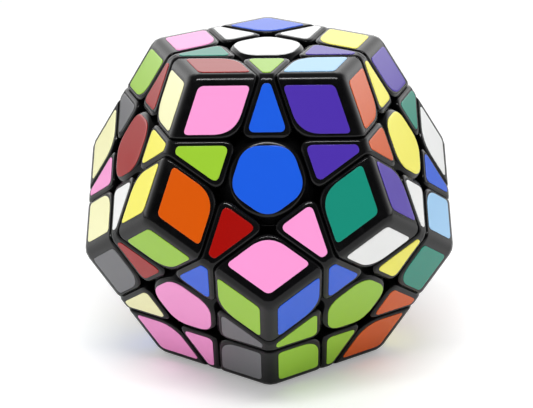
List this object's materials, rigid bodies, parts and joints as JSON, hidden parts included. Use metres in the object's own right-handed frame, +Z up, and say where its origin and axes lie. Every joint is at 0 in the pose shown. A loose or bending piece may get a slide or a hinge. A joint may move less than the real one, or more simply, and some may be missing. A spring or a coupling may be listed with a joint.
{
  "type": "dodecahedron twisty puzzle",
  "caption": "Twelve-sided twisty puzzle in black plastic with coloured stickers: corner, edge and centre pieces turn in layers around a sprung ball core.",
  "frame": {"origin": "centre of the ball core, where the twelve turning axes meet, which is also the centre of the outside", "axes": "+Z up through the top face, -Y towards the side of the front face, +X to the right seen from the front; the bottom face is flat on the ground"},
  "size_m": [0.0776, 0.0812, 0.0668],
  "materials": {
    "black_abs": "satin moulded black plastic",
    "core_plastic": "matt moulded black plastic",
    "spring_steel": "drawn steel wire",
    "screw_steel": "zinc plated steel",
    "sticker_white": "satin vinyl sticker",
    "sticker_blue": "satin vinyl sticker",
    "sticker_yellow": "satin vinyl sticker",
    "sticker_red": "satin vinyl sticker",
    "sticker_purple": "satin vinyl sticker",
    "sticker_teal": "satin vinyl sticker",
    "sticker_grey": "satin vinyl sticker",
    "sticker_light_blue": "satin vinyl sticker",
    "sticker_pink": "satin vinyl sticker",
    "sticker_lime": "satin vinyl sticker",
    "sticker_cream": "satin vinyl sticker",
    "sticker_orange": "satin vinyl sticker"
  },
  "bodies": {
    "puzzle_core": {"core_with_fixed_centres": "core_plastic", "corner_front_lower_left_lower_right": "black_abs", "corner_rear_left_back_rear_lower_left": "black_abs", "corner_rear_right_back_rear_lower_right": "black_abs", "corner_rear_right_rear_left_back": "black_abs", "corner_top_rear_right_rear_left": "black_abs", "edge_back_rear_lower_left": "black_abs", "edge_back_rear_lower_right": "black_abs", "edge_front_lower_left": "black_abs", "edge_front_lower_right": "black_abs", "edge_lower_left_lower_right": "black_abs", "edge_lower_left_rear_lower_left": "black_abs", "edge_lower_right_rear_lower_right": "black_abs", "edge_rear_left_back": "black_abs", "edge_rear_left_rear_lower_left": "black_abs", "edge_rear_right_back": "black_abs", "edge_rear_right_rear_left": "black_abs", "edge_rear_right_rear_lower_right": "black_abs", "edge_top_front": "black_abs", "edge_top_rear_left": "black_abs", "edge_top_rear_right": "black_abs", "screw_bottom": "screw_steel", "screw_left": "screw_steel", "screw_right": "screw_steel"},
    "left_layer": {"centre_left": "black_abs", "corner_front_left_lower_left": "black_abs", "corner_left_lower_left_rear_lower_left": "black_abs", "corner_rear_left_left_rear_lower_left": "black_abs", "corner_top_front_left": "black_abs", "corner_top_rear_left_left": "black_abs", "edge_front_left": "black_abs", "edge_left_lower_left": "black_abs", "edge_left_rear_lower_left": "black_abs", "edge_rear_left_left": "black_abs", "edge_top_left": "black_abs", "spring_left": "spring_steel"},
    "right_layer": {"centre_right": "black_abs", "corner_front_right_lower_right": "black_abs", "corner_right_lower_right_rear_lower_right": "black_abs", "corner_right_rear_right_rear_lower_right": "black_abs", "corner_top_front_right": "black_abs", "corner_top_right_rear_right": "black_abs", "edge_front_right": "black_abs", "edge_right_lower_right": "black_abs", "edge_right_rear_lower_right": "black_abs", "edge_right_rear_right": "black_abs", "edge_top_right": "black_abs", "spring_right": "spring_steel"},
    "bottom_layer": {"centre_bottom": "black_abs", "corner_back_rear_lower_left_bottom": "black_abs", "corner_back_rear_lower_right_bottom": "black_abs", "corner_lower_left_lower_right_bottom": "black_abs", "corner_lower_left_rear_lower_left_bottom": "black_abs", "corner_lower_right_rear_lower_right_bottom": "black_abs", "edge_back_bottom": "black_abs", "edge_lower_left_bottom": "black_abs", "edge_lower_right_bottom": "black_abs", "edge_rear_lower_left_bottom": "black_abs", "edge_rear_lower_right_bottom": "black_abs", "spring_bottom": "spring_steel"}
  },
  "joints": [
    {"name": "left_face_turn", "type": "hinge", "parent": "puzzle_core", "child": "left_layer", "pos_m": [0, 0, 0], "axis": [-0.8507, -0.2764, 0.4472], "continuous": true},
    {"name": "right_face_turn", "type": "hinge", "parent": "puzzle_core", "child": "right_layer", "pos_m": [0, 0, 0], "axis": [0.8507, -0.2764, 0.4472], "continuous": true},
    {"name": "bottom_face_turn", "type": "hinge", "parent": "puzzle_core", "child": "bottom_layer", "pos_m": [0, 0, 0], "axis": [0, 0, -1], "continuous": true}
  ]
}
